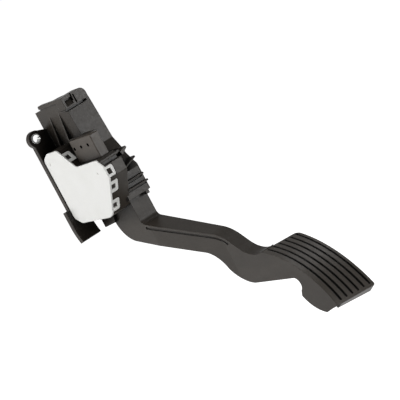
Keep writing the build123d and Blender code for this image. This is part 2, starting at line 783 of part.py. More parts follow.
with BuildPart() as pivot_shaft:
    with BuildSketch(Plane.YZ.offset(shaft_x[0])):
        with Locations(pivot):
            Circle(shaft_r)
    extrude(amount=shaft_x[1] - shaft_x[0])
    # groove for the ring, and a flat for the rotor
    with BuildSketch(Plane.YZ.offset(ring_x)):
        with Locations(pivot):
            Circle(shaft_r + over)
            Circle(clip_ring_r[0], mode=Mode.SUBTRACT)
    extrude(amount=clip_ring_t, mode=Mode.SUBTRACT)
    with BuildSketch(Plane.YZ.offset(rotor_x[0])):
        with Locations((pivot_y, pivot_z + shaft_flat)):
            Rectangle(2 * shaft_r, shaft_r, align=(Align.CENTER, Align.MIN))
    extrude(amount=shaft_x[1] - rotor_x[0], mode=Mode.SUBTRACT)
pivot_shaft.part.label = "pivot_shaft"
export_step(pivot_shaft.part, "parts/pivot_shaft.step")

with BuildPart() as shaft_clip:
    with BuildSketch(Plane.YZ.offset(ring_x)):
        with Locations(pivot):
            Circle(clip_ring_r[1])
            Circle(clip_ring_r[0], mode=Mode.SUBTRACT)
        with Locations((pivot_y, pivot_z + clip_ring_r[1])):
            Rectangle(clip_ring_r[0], 2 * clip_ring_r[0], mode=Mode.SUBTRACT)
    extrude(amount=clip_ring_t)
shaft_clip.part.label = "shaft_clip"
export_step(shaft_clip.part, "parts/shaft_clip.step")

for side, bush_name in ((1, "pivot_bush_inner"), (-1, "pivot_bush_outer")):
    with BuildPart() as pivot_bush:
        with BuildSketch(Plane.YZ.offset(side * tunnel_half)):
            with Locations(pivot):
                Circle(bush_r)
        extrude(amount=side * (body_half + boss_length - tunnel_half))
        with BuildSketch(Plane.YZ.offset(side * (arm_half + bush_play))):
            with Locations(pivot):
                Circle(bush_flange_r)
        extrude(amount=side * (tunnel_half - arm_half - bush_play))
        with BuildSketch(Plane.YZ):
            with Locations(pivot):
                Circle(shaft_r + run_gap)
        extrude(amount=side * cover_face, mode=Mode.SUBTRACT)
    pivot_bush.part.label = bush_name
    export_step(pivot_bush.part, f"parts/{bush_name}.step")

seat_top = lever_z[1] + seat_t
with BuildPart() as spring_seat:
    with BuildSketch(Plane.XY.offset(lever_z[1])):
        with Locations((0, spring_y)):
            Circle(seat_r)
    extrude(amount=seat_t)
    with BuildSketch(Plane.XY.offset(seat_top)):
        with Locations((0, spring_y)):
            Circle(seat_post_r)
    extrude(amount=seat_post - seat_t)
    with BuildSketch(Plane.XY.offset(lever_z[1])):
        with Locations((0, spring_y)):
            Circle(seat_peg_r)
    extrude(amount=-seat_peg)
spring_seat.part.label = "spring_seat"
export_step(spring_seat.part, "parts/spring_seat.step")

# Coil springs, each between the heights of its two seats
coils = [("return_spring_outer", outer_coil_r, outer_wire_r, outer_turns, spring_y, seat_top, tunnel_roof),
         ("return_spring_inner", inner_coil_r, inner_wire_r, inner_turns, spring_y, seat_top, tunnel_roof),
         ("shoe_spring", shoe_coil_r, shoe_wire_r, shoe_turns, pivot_y, shoe_top, shoe_pocket_top)]
for coil_name, coil_r, wire_r, turns, y_coil, z_low, z_high in coils:
    rise = z_high - z_low - 2 * wire_r - 2 * seat_clear
    with BuildPart() as coil:
        with BuildLine():
            path = Helix(rise / turns, rise, coil_r, center=(0, y_coil, z_low + wire_r + seat_clear))
        with BuildSketch(Plane(origin=path @ 0, z_dir=path % 0)):
            Circle(wire_r)
        sweep(path=path, is_frenet=True)
    coil.part.label = coil_name
    export_step(coil.part, f"parts/{coil_name}.step")

with BuildPart() as friction_shoe:
    with BuildSketch(Plane.YZ):
        with BuildLine():
            Polyline(*box_corners((pivot_y - shoe_half, pivot_y + shoe_half), (pivot_z, shoe_top)),
                     close=True)
        make_face()
        with Locations(pivot):
            Circle(hub_r + shoe_gap, mode=Mode.SUBTRACT)
    extrude(amount=shoe_half, both=True)
friction_shoe.part.label = "friction_shoe"
export_step(friction_shoe.part, "parts/friction_shoe.step")

with BuildPart() as idle_stop_pad:
    with BuildSketch(Plane.YZ):
        with BuildLine():
            Polyline(*box_corners((neck_front, tunnel_front[-1][0]), idle_z), close=True)
        make_face()
    extrude(amount=idle_half, both=True)
idle_stop_pad.part.label = "idle_stop_pad"
export_step(idle_stop_pad.part, "parts/idle_stop_pad.step")

with BuildPart() as full_stop_pad:
    with BuildSketch(full_plane):
        with BuildLine():
            Polyline(*box_corners((full_face - full_t, full_face), full_along), close=True)
        make_face()
    extrude(amount=full_half, both=True)
full_stop_pad.part.label = "full_stop_pad"
export_step(full_stop_pad.part, "parts/full_stop_pad.step")

with BuildPart() as sensor_board:
    with BuildSketch(Plane.YZ.offset(board_x)):
        with BuildLine():
            Polyline(*board_points, close=True)
        make_face()
        with Locations(pivot):
            Circle(board_hole_r, mode=Mode.SUBTRACT)
        with Locations(*screw_at):
            Circle(screw_r, mode=Mode.SUBTRACT)
    extrude(amount=board_t)
    add(terminal_pins.part, mode=Mode.SUBTRACT)
sensor_board.part.label = "sensor_board"
export_step(sensor_board.part, "parts/sensor_board.step")

with BuildPart() as board_components:
    with BuildSketch(Plane.YZ.offset(board_face)):
        with Locations(*chip_at):
            Rectangle(chip_size[0], chip_size[1])
    extrude(amount=chip_size[2])
board_components.part.label = "board_components"
export_step(board_components.part, "parts/board_components.step")

with BuildPart() as board_screws:
    with BuildSketch(Plane.YZ.offset(board_face)):
        with Locations(*screw_at):
            Circle(screw_head_r)
    extrude(amount=screw_head)
    with BuildSketch(Plane.YZ.offset(board_face)):
        with Locations(*screw_at):
            Circle(screw_r)
    extrude(amount=-board_t - screw_depth)
board_screws.part.label = "board_screws"
export_step(board_screws.part, "parts/board_screws.step")

with BuildPart() as sensor_rotor:
    with BuildSketch(Plane.YZ.offset(rotor_x[0])):
        with Locations(pivot):
            Circle(rotor_r)
    extrude(amount=rotor_x[1] - rotor_x[0])
    with BuildSketch(Plane.YZ.offset(rotor_x[1])):
        with Locations(pivot):
            Circle(rotor_hub_r)
    extrude(amount=rotor_hub_end - rotor_x[1])
    add(pivot_shaft.part, mode=Mode.SUBTRACT)
sensor_rotor.part.label = "sensor_rotor"
export_step(sensor_rotor.part, "parts/sensor_rotor.step")

# Contacts: a leaf flat on the rotor with a finger bent down to the board
leaf_x = rotor_x[0] - wiper_t / 2
with BuildPart() as wiper_contacts:
    for z_wiper in wiper_at:
        with BuildSketch(Plane.XY.offset(pivot_z + z_wiper)):
            with BuildLine():
                Polyline((leaf_x, pivot_y + wiper_y[1]), (leaf_x, pivot_y + wiper_bend),
                         (board_face + wiper_gap + wiper_t, pivot_y + wiper_y[0]))
            trace(line_width=wiper_t)
        extrude(amount=wiper_width / 2, both=True)
wiper_contacts.part.label = "wiper_contacts"
export_step(wiper_contacts.part, "parts/wiper_contacts.step")
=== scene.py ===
import bmesh
import bpy
import json
import math
from mathutils import Matrix, Vector


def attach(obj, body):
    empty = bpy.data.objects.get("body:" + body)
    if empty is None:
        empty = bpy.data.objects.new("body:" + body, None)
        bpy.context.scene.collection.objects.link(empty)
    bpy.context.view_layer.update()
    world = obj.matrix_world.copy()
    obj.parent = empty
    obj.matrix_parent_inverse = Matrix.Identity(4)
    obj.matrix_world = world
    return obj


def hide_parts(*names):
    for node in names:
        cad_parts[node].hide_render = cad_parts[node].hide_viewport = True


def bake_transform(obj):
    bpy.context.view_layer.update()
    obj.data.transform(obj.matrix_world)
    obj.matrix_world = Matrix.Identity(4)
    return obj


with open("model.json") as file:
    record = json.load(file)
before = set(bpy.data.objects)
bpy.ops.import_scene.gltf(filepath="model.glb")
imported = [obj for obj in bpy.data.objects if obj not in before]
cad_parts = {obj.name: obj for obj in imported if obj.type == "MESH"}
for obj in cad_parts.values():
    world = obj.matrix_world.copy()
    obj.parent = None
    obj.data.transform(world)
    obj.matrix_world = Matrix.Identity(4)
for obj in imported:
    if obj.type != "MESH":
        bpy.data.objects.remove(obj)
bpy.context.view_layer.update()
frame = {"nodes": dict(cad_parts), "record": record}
nodes = frame["nodes"]
print("frame loaded:", len(nodes), "nodes")


# Camera at the photograph's angle, rolled as the photograph is
cameraSpec = {
    "place": (1.57339, 2.56458, 0.28339),
    "right": (-0.70693, 0.53221, -0.46584),
    "up": (-0.45681, 0.15927, 0.87519),
    "back": (0.53998, 0.83150, 0.13053),
    "lens": 324.0,
    "sensor": 36.0,
    "clipEnd": 30.0,
}


def placeCamera(spec):
    data = bpy.data.cameras.new("photoCamera")
    data.lens = spec["lens"]
    data.sensor_width = spec["sensor"]
    data.clip_end = spec["clipEnd"]
    camera = bpy.data.objects.new("photoCamera", data)
    axes = Matrix((spec["right"], spec["up"], spec["back"])).transposed()
    camera.matrix_world = Matrix.Translation(spec["place"]) @ axes.to_4x4()
    bpy.context.scene.collection.objects.link(camera)
    bpy.context.scene.camera = camera


placeCamera(cameraSpec)
print("camera placed")


# Short helpers for node trees
def addNode(tree, kind, values=None, **settings):
    node = tree.nodes.new(kind)
    for key, value in settings.items():
        setattr(node, key, value)
    for key, value in (values or {}).items():
        node.inputs[key].default_value = value
    return node


def startMaterial(name):
    mat = bpy.data.materials.new(name)
    mat.use_nodes = True
    tree = mat.node_tree
    place = addNode(tree, "ShaderNodeTexCoord").outputs["Object"]
    return mat, tree, tree.nodes["Principled BSDF"], place


def stretched(tree, place, scale):
    mapping = addNode(tree, "ShaderNodeMapping", {"Scale": scale})
    tree.links.new(place, mapping.inputs["Vector"])
    return mapping.outputs["Vector"]


def noise(tree, place, scale, detail=2.0, rough=0.5):
    node = addNode(tree, "ShaderNodeTexNoise", {"Scale": scale, "Detail": detail, "Roughness": rough})
    tree.links.new(place, node.inputs["Vector"])
    return node.outputs["Fac"]


def spread(tree, value, low, high, outLow=0.0, outHigh=1.0):
    node = addNode(tree, "ShaderNodeMapRange",
                   {"From Min": low, "From Max": high, "To Min": outLow, "To Max": outHigh})
    tree.links.new(value, node.inputs["Value"])
    return node.outputs["Result"]


def maths(tree, operation, first, second):
    node = addNode(tree, "ShaderNodeMath", operation=operation)
    for socket, value in zip(node.inputs, (first, second)):
        if isinstance(value, (int, float)):
            socket.default_value = value
        else:
            tree.links.new(value, socket)
    return node.outputs["Value"]


def blendColours(tree, share, first, second):
    node = addNode(tree, "ShaderNodeMix", data_type="RGBA")
    tree.links.new(share, node.inputs[0])
    for socket, value in ((node.inputs[6], first), (node.inputs[7], second)):
        if isinstance(value, tuple):
            socket.default_value = (*value, 1.0)
        else:
            tree.links.new(value, socket)
    return node.outputs[2]


noiseSpan = (0.3, 0.7)  # where most of a noise texture lies
edgeSpan = (0.99, 0.80)  # cosine of the turn at which the edge colour starts, and is full


# Softened edges: the normal of a small round, and how far it turns from the face
def softEdge(tree, radius):
    bevel = addNode(tree, "ShaderNodeBevel", {"Radius": radius}, samples=6)
    face = addNode(tree, "ShaderNodeNewGeometry").outputs["Normal"]
    turn = addNode(tree, "ShaderNodeVectorMath", operation="DOT_PRODUCT")
    tree.links.new(bevel.outputs["Normal"], turn.inputs[0])
    tree.links.new(face, turn.inputs[1])
    return bevel.outputs["Normal"], spread(tree, turn.outputs["Value"], *edgeSpan)


def bumpFrom(tree, height, distance, strength, normal=None):
    bump = addNode(tree, "ShaderNodeBump", {"Distance": distance, "Strength": strength})
    tree.links.new(height, bump.inputs["Height"])
    if normal is not None:
        tree.links.new(normal, bump.inputs["Normal"])
    return bump.outputs["Normal"]


# How open a place is, the mask of the painted shade: 0 deep in a corner or a groove, 1 on an open face
def openness(tree, reach, span):
    node = addNode(tree, "ShaderNodeAmbientOcclusion", {"Distance": reach}, samples=8)
    return spread(tree, node.outputs["AO"], *span)


# Moulded plastic: fine grain, cloudy tone, faint flow streaks, painted shade in recesses, and an edge colour
# (on the dark plastics lighter, partly wear and partly painted highlight)
mouldSpec = {"flowSpan": (0.52, 0.75), "scuffSpan": (0.35, 0.7), "scuffGloss": 0.1}


def mouldedPlastic(name, look):
    mat, tree, shader, place = startMaterial(name)
    cloud = spread(tree, noise(tree, place, look["cloudScale"], 4.0), *noiseSpan)
    tone = blendColours(tree, cloud, look["dark"], look["light"])
    flow = noise(tree, stretched(tree, place, look["flow"]), 1.0, 3.0)
    streaks = spread(tree, flow, *mouldSpec["flowSpan"], 0.0, look["flowShare"])
    tone = blendColours(tree, streaks, tone, look["streak"])
    # Painted shade: corners, grooves and gaps darkened towards the recess colour
    free = openness(tree, look["paintedShadeReach"], look["paintedShadeSpan"])
    tone = blendColours(tree, free, look["paintedShadeColour"], tone)
    # Edge colour on rounded edges in random patches; on the dark plastics it is lighter, partly wear and
    # partly painted highlight
    softNormal, roundedEdge = softEdge(tree, look["edgeRadius"])
    patches = spread(tree, noise(tree, place, look["scuffScale"], 3.0), *mouldSpec["scuffSpan"])
    edgeMarks = maths(tree, "MULTIPLY", roundedEdge, patches)
    tone = blendColours(tree, maths(tree, "MULTIPLY", edgeMarks, look["edgeToneShare"]), tone, look["edgeTone"])
    grain = noise(tree, place, look["grainScale"], 3.0, 0.6)
    rough = spread(tree, noise(tree, place, look["mottleScale"], 3.0), *noiseSpan, *look["rough"])
    polish = maths(tree, "MULTIPLY", edgeMarks, mouldSpec["scuffGloss"])
    bump = bumpFrom(tree, grain, look["grainDepth"], look["grain"], softNormal)
    tree.links.new(tone, shader.inputs["Base Color"])
    tree.links.new(maths(tree, "SUBTRACT", rough, polish), shader.inputs["Roughness"])
    tree.links.new(bump, shader.inputs["Normal"])
    shader.inputs["Specular IOR Level"].default_value = look["specular"]
    return mat, tree, shader, place, tone, free


# Dark plastics: the recess colour is painted shade in corners and gaps; the rub colour lightens edges, partly
# as wear and partly as painted highlight
housingLook = {
    "dark": (0.026, 0.0214, 0.0168), "light": (0.037, 0.0305, 0.0243), "streak": (0.056, 0.0465, 0.038),
    "paintedShadeColour": (0.003, 0.0025, 0.002), "paintedShadeReach": 0.020, "paintedShadeSpan": (0.42, 0.97),
    "edgeTone": (0.17, 0.155, 0.140), "cloudScale": 42.0, "flow": (70.0, 26.0, 12.0), "flowShare": 0.5,
    "edgeRadius": 0.0006, "scuffScale": 260.0, "edgeToneShare": 0.6, "grainScale": 3200.0, "grainDepth": 0.00006,
    "grain": 0.35, "mottleScale": 480.0, "rough": (0.33, 0.41), "specular": 0.20,
}
armLook = dict(
    housingLook, paintedShadeReach=0.012, paintedShadeSpan=(0.45, 0.95), cloudScale=30.0, flow=(60.0, 9.0, 40.0),
    edgeRadius=0.0008, rough=(0.36, 0.44), grainScale=2600.0,
)
# White cover: the recess colour is painted shade in its corners and gaps
coverLook = {
    "dark": (0.80, 0.80, 0.77), "light": (0.86, 0.86, 0.84), "streak": (0.88, 0.88, 0.85),
    "paintedShadeColour": (0.66, 0.65, 0.61), "paintedShadeReach": 0.003, "paintedShadeSpan": (0.3, 0.8),
    "edgeTone": (0.72, 0.72, 0.69), "cloudScale": 38.0, "flow": (40.0, 14.0, 60.0), "flowShare": 0.3,
    "edgeRadius": 0.0004, "scuffScale": 300.0, "edgeToneShare": 0.3, "grainScale": 2800.0, "grainDepth": 0.00004,
    "grain": 0.2, "mottleScale": 420.0, "rough": (0.34, 0.46), "specular": 0.5,
}
# The lead box's plastic: the housing's, painted lighter to stand in for the light that falls on its side
paintedLitBoxLook = dict(
    housingLook, dark=(0.062, 0.0525, 0.0435), light=(0.078, 0.0660, 0.0550), streak=(0.096, 0.082, 0.069),
)
housingPlastic = mouldedPlastic("housingPlastic", housingLook)[0]
paintedLitBoxPlastic = mouldedPlastic("paintedLitBoxPlastic", paintedLitBoxLook)[0]
coverPlastic = mouldedPlastic("coverPlastic", coverLook)[0]

# The arm's plastic, coarser and lighter on the lands of the pad's tread, with painted shade in its grooves
# and along their shoulders
treadLook = {
    "start": 0.1905, "full": 0.1925, "facing": (0.0, 0.62, 0.78), "facingSpan": (0.45, 0.65),
    "colour": (0.062, 0.0535, 0.045), "share": 0.9,
    "middle": (0.0, 0.2246, -0.1717), "upward": (0.0, -0.647, 0.763), "grooveReach": (-0.0447, 0.0354),
    "endFade": 0.0006, "rowMargin": (0.0022, 0.0017),
    "grooveFirst": -0.0015, "groovePitch": 0.0062, "grooveCount": 6, "shoulder": (0.0010, 0.0016),
    "shoulderShadeColour": (0.006, 0.005, 0.004), "shoulderShadeShare": 0.85,
    "grainScale": 1500.0, "grainDepth": 0.00012, "grain": 0.5,
}


# 1 along the shoulders of the tread's grooves, where painted shade goes
def grooveShoulderShade(tree, place, across, tread):
    offset = addNode(tree, "ShaderNodeVectorMath", operation="SUBTRACT")
    tree.links.new(place, offset.inputs[0])
    offset.inputs[1].default_value = tread["middle"]
    height = addNode(tree, "ShaderNodeVectorMath", operation="DOT_PRODUCT")
    tree.links.new(offset.outputs["Vector"], height.inputs[0])
    height.inputs[1].default_value = tread["upward"]
    low, high = tread["grooveReach"]
    fade = tread["endFade"]
    within = maths(tree, "MULTIPLY", spread(tree, height.outputs["Value"], low, low + fade),
                   spread(tree, height.outputs["Value"], high, high - fade))
    fromFirst = maths(tree, "SUBTRACT", across, tread["grooveFirst"])
    nearest = maths(tree, "PINGPONG", fromFirst, tread["groovePitch"] / 2)
    half = tread["groovePitch"] * (tread["grooveCount"] - 1) / 2
    fromMiddle = maths(tree, "ABSOLUTE", maths(tree, "SUBTRACT", across, tread["grooveFirst"] - half), 0.0)
    inRow = spread(tree, fromMiddle, *(half + margin for margin in tread["rowMargin"]))
    return maths(tree, "MULTIPLY", maths(tree, "MULTIPLY", within, inRow),
                 spread(tree, nearest, *reversed(tread["shoulder"])))


def treadedArm(look, tread):
    mat, tree, shader, place, tone, free = mouldedPlastic("armPlastic", look)
    split = addNode(tree, "ShaderNodeSeparateXYZ")
    tree.links.new(place, split.inputs["Vector"])
    along = spread(tree, split.outputs["Y"], tread["start"], tread["full"])
    facing = addNode(tree, "ShaderNodeVectorMath", operation="DOT_PRODUCT")
    coords = addNode(tree, "ShaderNodeTexCoord")
    tree.links.new(coords.outputs["Normal"], facing.inputs[0])
    facing.inputs[1].default_value = tread["facing"]
    onTread = maths(tree, "MULTIPLY", along, spread(tree, facing.outputs["Value"], *tread["facingSpan"]))
    lands = maths(tree, "MULTIPLY", onTread, free)
    tone = blendColours(tree, maths(tree, "MULTIPLY", lands, tread["share"]), tone, tread["colour"])
    # Painted shade along the shoulders of the tread's grooves
    paintedShoulderShade = maths(tree, "MULTIPLY", grooveShoulderShade(tree, place, split.outputs["X"], tread), onTread)
    tree.links.new(blendColours(tree, maths(tree, "MULTIPLY", paintedShoulderShade, tread["shoulderShadeShare"]), tone,
                                tread["shoulderShadeColour"]), shader.inputs["Base Color"])
    coarse = maths(tree, "MULTIPLY", noise(tree, place, tread["grainScale"], 2.0), onTread)
    fine = shader.inputs["Normal"].links[0].from_socket
    tree.links.new(bumpFrom(tree, coarse, tread["grainDepth"], tread["grain"], fine), shader.inputs["Normal"])
    return mat


armPlastic = treadedArm(armLook, treadLook)
print("plastics made")


# Metals: fine working lines, on most of them along one axis, and cloudy tarnish
metalSpec = {"cloudSpan": (0.35, 0.7), "edgeShare": 0.4, "lineStrength": 0.3}


def workedMetal(name, look):
    mat, tree, shader, place = startMaterial(name)
    lines = noise(tree, stretched(tree, place, look["lines"]), 1.0, 3.0)
    cloud = spread(tree, noise(tree, place, look["cloudScale"], 3.0), *metalSpec["cloudSpan"])
    softNormal, roundedEdge = softEdge(tree, look["edgeRadius"])
    tone = blendColours(tree, cloud, look["dark"], look["light"])
    tone = blendColours(tree, maths(tree, "MULTIPLY", roundedEdge, metalSpec["edgeShare"]), tone, look["edge"])
    bump = bumpFrom(tree, lines, look["lineDepth"], metalSpec["lineStrength"], softNormal)
    tree.links.new(tone, shader.inputs["Base Color"])
    tree.links.new(spread(tree, lines, *noiseSpan, *look["rough"]), shader.inputs["Roughness"])
    tree.links.new(bump, shader.inputs["Normal"])
    shader.inputs["Metallic"].default_value = 1.0
    return mat


metalLooks = {
    "zincSteel": {"dark": (0.66, 0.67, 0.66), "light": (0.80, 0.81, 0.79), "edge": (0.86, 0.86, 0.85),
                  "lines": (2600.0, 160.0, 2600.0), "rough": (0.24, 0.42), "cloudScale": 260.0,
                  "edgeRadius": 0.0003, "lineDepth": 0.00003},
    "shaftSteel": {"dark": (0.50, 0.50, 0.49), "light": (0.62, 0.62, 0.61), "edge": (0.72, 0.72, 0.71),
                   "lines": (5200.0, 200.0, 200.0), "rough": (0.18, 0.32), "cloudScale": 220.0,
                   "edgeRadius": 0.0003, "lineDepth": 0.00002},
    "springSteel": {"dark": (0.20, 0.20, 0.21), "light": (0.34, 0.34, 0.35), "edge": (0.45, 0.45, 0.45),
                    "lines": (900.0, 900.0, 900.0), "rough": (0.28, 0.44), "cloudScale": 400.0,
                    "edgeRadius": 0.0001, "lineDepth": 0.00002},
    "contactAlloy": {"dark": (0.62, 0.46, 0.27), "light": (0.76, 0.60, 0.38), "edge": (0.82, 0.68, 0.46),
                     "lines": (300.0, 4200.0, 300.0), "rough": (0.22, 0.36), "cloudScale": 500.0,
                     "edgeRadius": 0.0001, "lineDepth": 0.00001},
    "tinnedBrass": {"dark": (0.60, 0.50, 0.30), "light": (0.66, 0.65, 0.61), "edge": (0.74, 0.72, 0.66),
                    "lines": (3000.0, 3000.0, 260.0), "rough": (0.20, 0.36), "cloudScale": 420.0,
                    "edgeRadius": 0.0001, "lineDepth": 0.00001},
    "bushBronze": {"dark": (0.38, 0.22, 0.09), "light": (0.60, 0.38, 0.17), "edge": (0.68, 0.46, 0.24),
                   "lines": (1800.0, 1800.0, 1800.0), "rough": (0.36, 0.60), "cloudScale": 900.0,
                   "edgeRadius": 0.0002, "lineDepth": 0.00005},
}
metals = {name: workedMetal(name, look) for name, look in metalLooks.items()}
print("metals made")


# Inner pieces: acetal, rubber, board and its chips, each a tone with its own speck and grain
innerSpec = {"speckSpan": (0.62, 0.74), "edgeShare": 0.3, "grainStrength": 0.4}


def speckled(name, look):
    mat, tree, shader, place = startMaterial(name)
    cloud = spread(tree, noise(tree, place, look["cloudScale"], 3.0), *noiseSpan)
    tone = blendColours(tree, cloud, look["dark"], look["light"])
    speck = spread(tree, noise(tree, place, look["speckScale"], 1.0), *innerSpec["speckSpan"])
    tone = blendColours(tree, maths(tree, "MULTIPLY", speck, look["speckShare"]), tone, look["speck"])
    softNormal, roundedEdge = softEdge(tree, look["edgeRadius"])
    tone = blendColours(tree, maths(tree, "MULTIPLY", roundedEdge, innerSpec["edgeShare"]), tone, look["speck"])
    grain = noise(tree, place, look["grainScale"], 2.0)
    bump = bumpFrom(tree, grain, look["grainDepth"], innerSpec["grainStrength"], softNormal)
    tree.links.new(tone, shader.inputs["Base Color"])
    tree.links.new(spread(tree, grain, *noiseSpan, *look["rough"]), shader.inputs["Roughness"])
    tree.links.new(bump, shader.inputs["Normal"])
    return mat


innerLooks = {
    "acetal": {"dark": (0.66, 0.64, 0.58), "light": (0.74, 0.72, 0.66), "speck": (0.80, 0.79, 0.74),
               "cloudScale": 120.0, "speckScale": 900.0, "speckShare": 0.2, "edgeRadius": 0.0003,
               "grainScale": 2600.0, "grainDepth": 0.00003, "rough": (0.30, 0.42)},
    "stopRubber": {"dark": (0.014, 0.014, 0.014), "light": (0.024, 0.023, 0.022),
                   "speck": (0.05, 0.05, 0.048),
                   "cloudScale": 200.0, "speckScale": 1500.0, "speckShare": 0.4, "edgeRadius": 0.0003,
                   "grainScale": 1800.0, "grainDepth": 0.00010, "rough": (0.72, 0.88)},
    "boardLaminate": {"dark": (0.012, 0.060, 0.028), "light": (0.018, 0.085, 0.038),
                      "speck": (0.30, 0.27, 0.12),
                      "cloudScale": 160.0, "speckScale": 1100.0, "speckShare": 0.3, "edgeRadius": 0.0002,
                      "grainScale": 2200.0, "grainDepth": 0.00003, "rough": (0.26, 0.40)},
    "componentBlack": {"dark": (0.014, 0.014, 0.015), "light": (0.022, 0.022, 0.023),
                       "speck": (0.08, 0.08, 0.08),
                       "cloudScale": 500.0, "speckScale": 2600.0, "speckShare": 0.3, "edgeRadius": 0.0001,
                       "grainScale": 4200.0, "grainDepth": 0.00002, "rough": (0.34, 0.48)},
}
inner = {name: speckled(name, look) for name, look in innerLooks.items()}
print("inner finishes made")

finishes = {
    "housing_plastic": housingPlastic, "arm_plastic": armPlastic, "cover_plastic": coverPlastic,
    "zinc_steel": metals["zincSteel"], "shaft_steel": metals["shaftSteel"],
    "spring_steel": metals["springSteel"], "bush_bronze": metals["bushBronze"],
    "acetal": inner["acetal"], "stop_rubber": inner["stopRubber"],
    "board_laminate": inner["boardLaminate"], "component_black": inner["componentBlack"],
    "tinned_brass": metals["tinnedBrass"], "contact_alloy": metals["contactAlloy"],
}
for part in frame["record"]["subparts"]:
    mesh = nodes[part["node"]].data
    mesh.materials.clear()
    mesh.materials.append(finishes[part["material_slot"]])


# Geometry of a thing after its modifiers, as a plain mesh
def bakeModifiers(thing):
    graph = bpy.context.evaluated_depsgraph_get()
    mesh = bpy.data.meshes.new_from_object(thing.evaluated_get(graph), depsgraph=graph)
    thing.modifiers.clear()
    thing.data = mesh
    return mesh


# Node tree with named sizes; gives back the tree, its input sockets and their identifiers
def sizedTree(name, kinds):
    tree = bpy.data.node_groups.new(name, "GeometryNodeTree")
    tree.interface.new_socket("Geometry", in_out="INPUT", socket_type="NodeSocketGeometry")
    keys = {size: tree.interface.new_socket(size, in_out="INPUT", socket_type="NodeSocket" + kind).identifier
            for size, kind in kinds.items()}
    tree.interface.new_socket("Geometry", in_out="OUTPUT", socket_type="NodeSocketGeometry")
    return tree, addNode(tree, "NodeGroupInput").outputs, keys


# Closes a tree: instances made real, material set
def closeTree(tree, made, material):
    plain = addNode(tree, "GeometryNodeRealizeInstances")
    finish = addNode(tree, "GeometryNodeSetMaterial", {"Material": material})
    tree.links.new(made, plain.inputs["Geometry"])
    tree.links.new(plain.outputs["Geometry"], finish.inputs["Geometry"])
    tree.links.new(finish.outputs["Geometry"], addNode(tree, "NodeGroupOutput").inputs["Geometry"])


def runTree(thing, tree, keys, sizes):
    modifier = thing.modifiers.new(tree.name, "NODES")
    modifier.node_group = tree
    for size, value in sizes.items():
        modifier[keys[size]] = value


# Box for the sensor's leads, standing on the step of the chamber, with a row of tool holes in its side
leadBoxSpec = {
    "x": (0.0135, 0.0230), "y": (0.0425, 0.0758), "z": (-0.0333, -0.0122), "draft": 0.0002,
    "edge": 0.0007, "edgeSegments": 3,
    "holes": {"First": (0.0230, 0.0454, -0.0197), "Count": 3, "Pitch": 0.01065, "Radius": 0.0015,
              "Depth": 0.0060},
}


# Row of round holes along y, drilled along x
def holeRow(material):
    kinds = {"First": "Vector", "Count": "Int", "Pitch": "Float", "Radius": "Float", "Depth": "Float"}
    tree, given, keys = sizedTree("holeRow", kinds)
    step = addNode(tree, "ShaderNodeCombineXYZ")
    row = addNode(tree, "GeometryNodeMeshLine")
    drill = addNode(tree, "GeometryNodeMeshCylinder", {"Vertices": 24})
    drills = addNode(tree, "GeometryNodeInstanceOnPoints", {"Rotation": (0.0, math.pi / 2, 0.0)})
    cut = addNode(tree, "GeometryNodeMeshBoolean", operation="DIFFERENCE")
    for source, target in (
        (given["Pitch"], step.inputs["Y"]), (given["Count"], row.inputs["Count"]),
        (given["First"], row.inputs["Start Location"]), (step.outputs["Vector"], row.inputs["Offset"]),
        (given["Radius"], drill.inputs["Radius"]), (given["Depth"], drill.inputs["Depth"]),
        (row.outputs["Mesh"], drills.inputs["Points"]), (drill.outputs["Mesh"], drills.inputs["Instance"]),
        (given["Geometry"], cut.inputs["Mesh 1"]), (drills.outputs["Instances"], cut.inputs["Mesh 2"]),
    ):
        tree.links.new(source, target)
    closeTree(tree, cut.outputs["Mesh"], material)
    return tree, keys


def leadBox(spec):
    spans = (spec["x"], spec["y"], spec["z"])
    shape = bmesh.new()
    bmesh.ops.create_cube(shape, size=1.0)
    for vert in shape.verts:
        inset = spec["draft"] if vert.co.z > 0 else 0.0
        ends = [(low + inset, high - inset) for low, high in spans[:2]] + [spans[2]]
        vert.co = [pair[1] if value > 0 else pair[0] for value, pair in zip(vert.co, ends)]
    mesh = bpy.data.meshes.new("lead_box")
    shape.to_mesh(mesh)
    shape.free()
    mesh.materials.append(paintedLitBoxPlastic)
    box = bpy.data.objects.new("lead_box", mesh)
    bpy.context.scene.collection.objects.link(box)
    rounding = box.modifiers.new("edges", "BEVEL")
    rounding.width = spec["edge"]
    rounding.segments = spec["edgeSegments"]
    runTree(box, *holeRow(paintedLitBoxPlastic), spec["holes"])
    mesh = bakeModifiers(box)
    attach(box, "housing")
    print("lead box:", len(mesh.polygons), "faces")


leadBox(leadBoxSpec)

# Return springs with closed ends, the top coil on the roof and the bottom one on the lever's seat
springPlace = {"y": 0.016, "seat": -0.054, "roof": -0.029, "gap": 0.00002, "bend": (-0.031, -0.052)}
springSpecs = {
    "return_coil_outer": {"node": "return_spring_outer", "Coil": 0.0067, "Wire": 0.00085, "Turns": 4.5},
    "return_coil_inner": {"node": "return_spring_inner", "Coil": 0.0041, "Wire": 0.0006, "Turns": 5.5},
}


